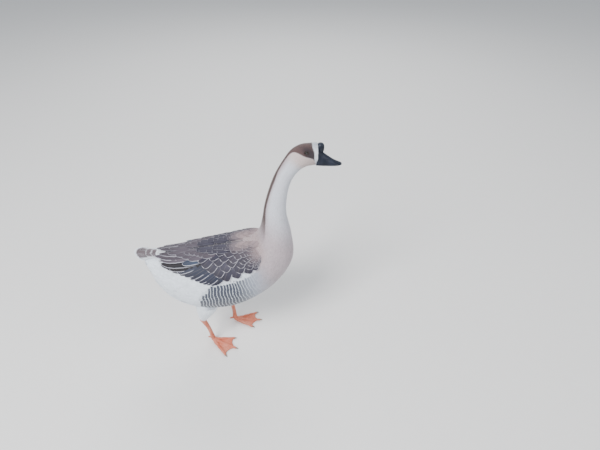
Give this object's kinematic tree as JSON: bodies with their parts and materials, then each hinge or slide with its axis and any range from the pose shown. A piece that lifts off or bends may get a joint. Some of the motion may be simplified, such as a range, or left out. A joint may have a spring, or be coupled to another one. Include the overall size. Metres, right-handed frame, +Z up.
{
  "type": "chinese goose, still life-size model",
  "caption": "Still, life-size model of a brown Chinese goose in mid-step, neck raised and wings folded, standing on its webbed feet.",
  "frame": {"origin": "centre of the goose's box at floor level, under the body", "axes": "+X the way the goose faces, +Y its left side, +Z up"},
  "size_m": [0.6303, 0.2267, 0.7494],
  "materials": {
    "brown_plumage": "soft overlapping feathers, matt",
    "cap_and_cheek": "fine short feathers, matt",
    "neck_plumage": "fine short feathers, matt",
    "wing_plumage": "smooth vanes, slight sheen",
    "white_plumage": "soft down and feathers, matt",
    "tail_plumage": "smooth vanes, slight sheen",
    "black_horn": "satin horn",
    "orange_leg": "scaly skin, satin",
    "pale_claw": "satin horn",
    "dark_eye": "wet gloss"
  },
  "bodies": {
    "root": {"bill_lower": "black_horn", "bill_upper": "black_horn", "claw_inner_left": "pale_claw", "claw_inner_right": "pale_claw", "claw_middle_left": "pale_claw", "claw_middle_right": "pale_claw", "claw_outer_left": "pale_claw", "claw_outer_right": "pale_claw", "eye_left": "dark_eye", "eye_right": "dark_eye", "foot_left": "orange_leg", "foot_right": "orange_leg", "head": "cap_and_cheek", "knob": "black_horn", "neck_lower": "neck_plumage", "neck_upper": "neck_plumage", "shank_left": "orange_leg", "shank_right": "orange_leg", "tail": "tail_plumage", "thigh_left": "white_plumage", "thigh_right": "white_plumage", "torso": "brown_plumage", "wing_left": "wing_plumage", "wing_right": "wing_plumage"}
  },
  "joints": []
}
